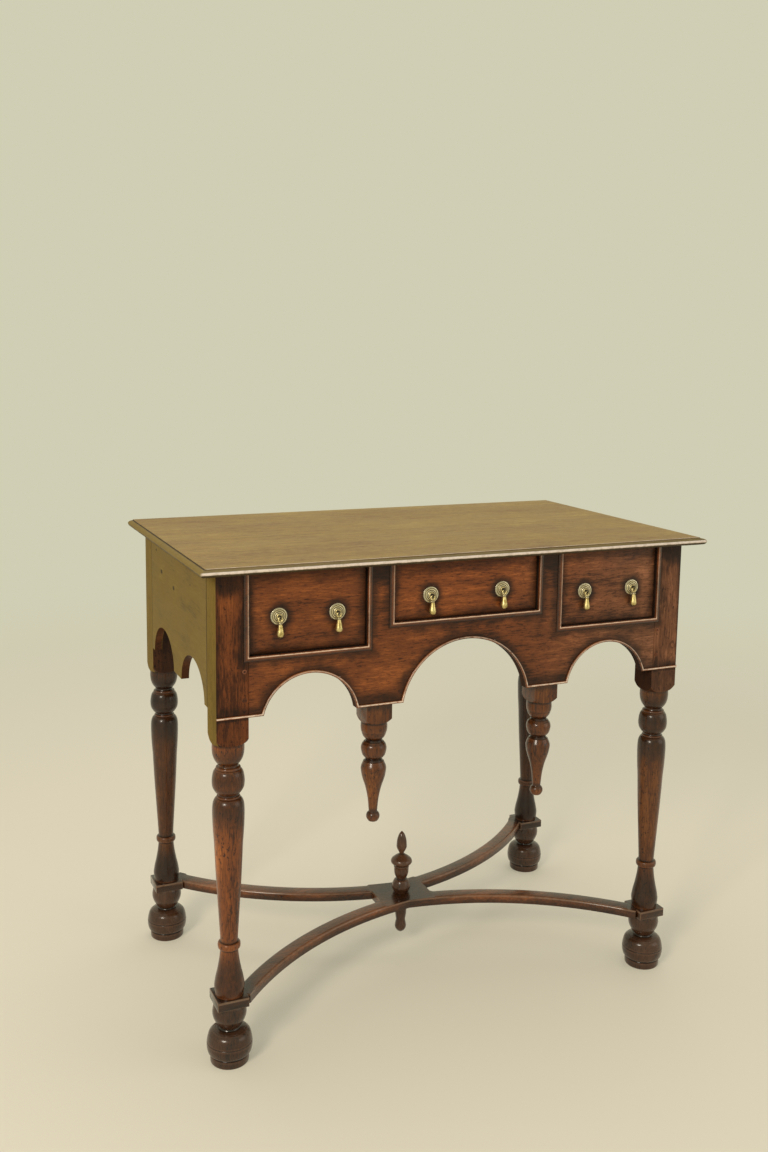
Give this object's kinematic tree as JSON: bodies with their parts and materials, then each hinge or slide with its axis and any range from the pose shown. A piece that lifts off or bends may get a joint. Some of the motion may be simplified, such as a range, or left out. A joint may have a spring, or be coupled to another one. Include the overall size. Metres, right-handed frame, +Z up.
{
  "type": "lowboy",
  "caption": "Oak lowboy with drawers over an arched apron, turned legs on bun feet, pendants and a crossed stretcher with a finial.",
  "frame": {"origin": "on the floor, under the middle of the whole piece", "axes": "+X to the right of someone facing the drawers, +Y from front to back, +Z up"},
  "size_m": [0.814, 0.4731, 0.7275],
  "materials": {
    "top_oak": "satin wax, olive brown, with open grain",
    "front_oak": "polished red brown, darker round the beads",
    "turned_oak": "polished dark brown",
    "inside_oak": "plain, unpolished",
    "brass": "aged, rubbed bright on the high places"
  },
  "bodies": {
    "root": {"top_board_front": "top_oak", "top_board_rear": "top_oak", "leg_front_left": "turned_oak", "leg_front_right": "turned_oak", "leg_rear_left": "turned_oak", "leg_rear_right": "turned_oak", "foot_front_left": "turned_oak", "foot_front_right": "turned_oak", "foot_rear_left": "turned_oak", "foot_rear_right": "turned_oak", "front_board": "front_oak", "edge_bead": "front_oak", "opening_bead_left": "front_oak", "opening_bead_middle": "front_oak", "opening_bead_right": "front_oak", "pendant_left": "turned_oak", "pendant_right": "turned_oak", "peg_left_lower": "front_oak", "peg_left_upper": "front_oak", "peg_right_lower": "front_oak", "peg_right_upper": "front_oak", "back_board": "inside_oak", "side_panel_left": "top_oak", "side_panel_right": "top_oak", "bearer_left_outer": "inside_oak", "bearer_left_inner": "inside_oak", "bearer_right_inner": "inside_oak", "bearer_right_outer": "inside_oak", "stretcher_under": "turned_oak", "stretcher_over": "turned_oak", "finial": "turned_oak", "finial_drop": "turned_oak"},
    "drawer_left": {"drawer_left_front": "front_oak", "drawer_left_side_left": "inside_oak", "drawer_left_side_right": "inside_oak", "drawer_left_bottom": "inside_oak", "drawer_left_back": "inside_oak", "pull_plate_left_outer": "brass", "pull_plate_left_inner": "brass"},
    "drawer_middle": {"drawer_middle_front": "front_oak", "drawer_middle_side_left": "inside_oak", "drawer_middle_side_right": "inside_oak", "drawer_middle_bottom": "inside_oak", "drawer_middle_back": "inside_oak", "pull_plate_middle_left": "brass", "pull_plate_middle_right": "brass"},
    "drawer_right": {"drawer_right_front": "front_oak", "drawer_right_side_left": "inside_oak", "drawer_right_side_right": "inside_oak", "drawer_right_bottom": "inside_oak", "drawer_right_back": "inside_oak", "pull_plate_right_inner": "brass", "pull_plate_right_outer": "brass"},
    "drop_left_outer": {"pull_drop_left_outer": "brass"},
    "drop_left_inner": {"pull_drop_left_inner": "brass"},
    "drop_middle_left": {"pull_drop_middle_left": "brass"},
    "drop_middle_right": {"pull_drop_middle_right": "brass"},
    "drop_right_inner": {"pull_drop_right_inner": "brass"},
    "drop_right_outer": {"pull_drop_right_outer": "brass"}
  },
  "joints": [
    {"name": "drawer_left_slide", "type": "slide", "parent": "root", "child": "drawer_left", "axis": [0, -1, 0], "range_m": [0, 0.32]},
    {"name": "drawer_middle_slide", "type": "slide", "parent": "root", "child": "drawer_middle", "axis": [0, -1, 0], "range_m": [0, 0.32]},
    {"name": "drawer_right_slide", "type": "slide", "parent": "root", "child": "drawer_right", "axis": [0, -1, 0], "range_m": [0, 0.32]},
    {"name": "drop_left_outer_swing", "type": "hinge", "parent": "drawer_left", "child": "drop_left_outer", "pos_m": [-0.28975, -0.21195, 0.65045], "axis": [-1, 0, 0], "range_deg": [0, 90]},
    {"name": "drop_left_inner_swing", "type": "hinge", "parent": "drawer_left", "child": "drop_left_inner", "pos_m": [-0.20375, -0.21195, 0.65045], "axis": [-1, 0, 0], "range_deg": [0, 90]},
    {"name": "drop_middle_left_swing", "type": "hinge", "parent": "drawer_middle", "child": "drop_middle_left", "pos_m": [-0.0589, -0.21195, 0.66365], "axis": [-1, 0, 0], "range_deg": [0, 90]},
    {"name": "drop_middle_right_swing", "type": "hinge", "parent": "drawer_middle", "child": "drop_middle_right", "pos_m": [0.0589, -0.21195, 0.66365], "axis": [-1, 0, 0], "range_deg": [0, 90]},
    {"name": "drop_right_inner_swing", "type": "hinge", "parent": "drawer_right", "child": "drop_right_inner", "pos_m": [0.20375, -0.21195, 0.65045], "axis": [-1, 0, 0], "range_deg": [0, 90]},
    {"name": "drop_right_outer_swing", "type": "hinge", "parent": "drawer_right", "child": "drop_right_outer", "pos_m": [0.28975, -0.21195, 0.65045], "axis": [-1, 0, 0], "range_deg": [0, 90]}
  ]
}
